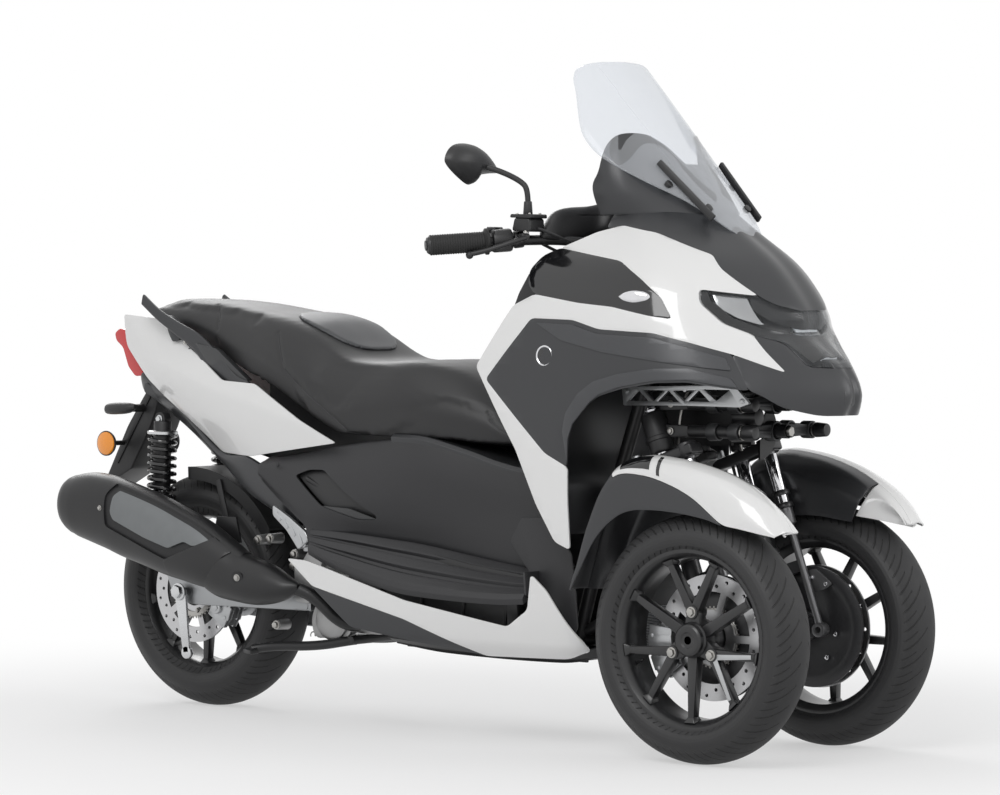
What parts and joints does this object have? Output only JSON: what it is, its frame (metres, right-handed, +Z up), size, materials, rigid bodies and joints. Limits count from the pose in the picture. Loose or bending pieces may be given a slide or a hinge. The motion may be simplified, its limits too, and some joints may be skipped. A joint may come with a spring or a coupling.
{
  "type": "reverse trike",
  "caption": "Leaning reverse trike scooter: twin steered front wheels, step-through body, long seat, clear screen and a swinging rear drive unit.",
  "frame": {"origin": "ground level, middle of the overall length and width", "axes": "+X forward, +Y to the rider's left, +Z up"},
  "size_m": [2.2539, 0.8138, 1.485],
  "materials": {
    "white_paint": "pearl gloss",
    "grey_satin": "satin metallic",
    "black_plastic": "fine grain",
    "black_gloss": "gloss",
    "tyre_rubber": "matt",
    "wheel_black": "satin",
    "brake_steel": "brushed",
    "caliper_paint": "silver paint",
    "cast_alloy": "as cast",
    "bright_alloy": "satin",
    "fork_metal": "satin",
    "seat_cover": "grained vinyl",
    "clear_screen": "clear",
    "lamp_lens": "clear",
    "lamp_metal": "bright",
    "red_lens": "clear red",
    "frame_black": "satin",
    "grip_rubber": "ribbed",
    "exhaust_black": "heat-proof matt",
    "spring_steel": "satin",
    "board_rubber": "ribbed"
  },
  "bodies": {
    "chassis": {"belly_pan": "black_plastic", "body_covers": "black_plastic", "caliper_rear": "caliper_paint", "engine": "cast_alloy", "exhaust": "exhaust_black", "exhaust_guard": "exhaust_black", "floorboards": "board_rubber", "frame": "frame_black", "grab_rails": "fork_metal", "head_frame": "frame_black", "headlamps": "lamp_lens", "indicator_panels": "black_gloss", "inner_shield": "grey_satin", "lamp_units": "lamp_metal", "lattice_bracket": "bright_alloy", "lean_arms": "bright_alloy", "leg_shields": "grey_satin", "nose_cowl": "grey_satin", "plate_holder": "black_plastic", "radiator_shield": "black_plastic", "rear_hugger": "black_plastic", "rear_shocks": "spring_steel", "screen_shroud": "black_plastic", "side_fairings": "white_paint", "side_heads": "frame_black", "sill_fairings": "white_paint", "sill_trims": "grey_satin", "storage_tub": "black_plastic", "swing_unit": "cast_alloy", "tail_lamp": "red_lens", "tail_sides": "white_paint", "tail_underside": "black_plastic", "windshield": "clear_screen"},
    "handlebar": {"handlebar": "frame_black", "grips": "grip_rubber", "hand_controls": "black_plastic", "bar_cover": "black_plastic", "mirrors": "black_plastic"},
    "fork_left": {"fork_left": "fork_metal", "caliper_front_left": "caliper_paint", "mudguard_left": "grey_satin", "mudguard_cap_left": "white_paint"},
    "fork_right": {"fork_right": "fork_metal", "caliper_front_right": "caliper_paint", "mudguard_right": "grey_satin", "mudguard_cap_right": "white_paint"},
    "tie_rods": {"tie_rods": "fork_metal"},
    "wheel_front_left": {"tyre_front_left": "tyre_rubber", "rim_front_left": "wheel_black", "disc_front_left": "brake_steel"},
    "wheel_front_right": {"tyre_front_right": "tyre_rubber", "rim_front_right": "wheel_black", "disc_front_right": "brake_steel"},
    "wheel_rear": {"tyre_rear": "tyre_rubber", "rim_rear": "wheel_black", "disc_rear": "brake_steel"},
    "seat": {"seat": "seat_cover"},
    "centre_stand": {"centre_stand": "frame_black"}
  },
  "joints": [
    {"name": "steer", "type": "hinge", "parent": "chassis", "child": "handlebar", "pos_m": [0.84084, 0, 0.25321], "axis": [-0.342, 0, 0.9397], "range_deg": [-30, 30]},
    {"name": "steer_left", "type": "hinge", "parent": "chassis", "child": "fork_left", "pos_m": [0.84084, 0.146, 0.25321], "axis": [-0.342, 0, 0.9397], "range_deg": [-30, 30]},
    {"name": "steer_right", "type": "hinge", "parent": "chassis", "child": "fork_right", "pos_m": [0.84084, -0.146, 0.25321], "axis": [-0.342, 0, 0.9397], "range_deg": [-30, 30]},
    {"name": "tie_swing", "type": "hinge", "parent": "handlebar", "child": "tie_rods", "pos_m": [0.63175, 0, 0.623], "axis": [-0.342, 0, 0.9397], "range_deg": [-30, 30]},
    {"name": "front_left_spin", "type": "hinge", "parent": "fork_left", "child": "wheel_front_left", "pos_m": [0.865, 0.235, 0.262], "axis": [0, 1, 0], "continuous": true},
    {"name": "front_right_spin", "type": "hinge", "parent": "fork_right", "child": "wheel_front_right", "pos_m": [0.865, -0.235, 0.262], "axis": [0, 1, 0], "continuous": true},
    {"name": "rear_spin", "type": "hinge", "parent": "chassis", "child": "wheel_rear", "pos_m": [-0.73, 0, 0.276], "axis": [0, 1, 0], "continuous": true},
    {"name": "seat_lid", "type": "hinge", "parent": "chassis", "child": "seat", "pos_m": [0.296, 0, 0.632], "axis": [0, 1, 0], "range_deg": [0, 50]},
    {"name": "stand_fold", "type": "hinge", "parent": "chassis", "child": "centre_stand", "pos_m": [-0.205, 0, 0.19], "axis": [0, 1, 0], "range_deg": [-95, 0]}
  ],
  "couplings": [
    {"joint": "steer_left", "follows": "steer", "ratio": 1},
    {"joint": "steer_right", "follows": "steer", "ratio": 1},
    {"joint": "tie_swing", "follows": "steer", "ratio": -1}
  ]
}
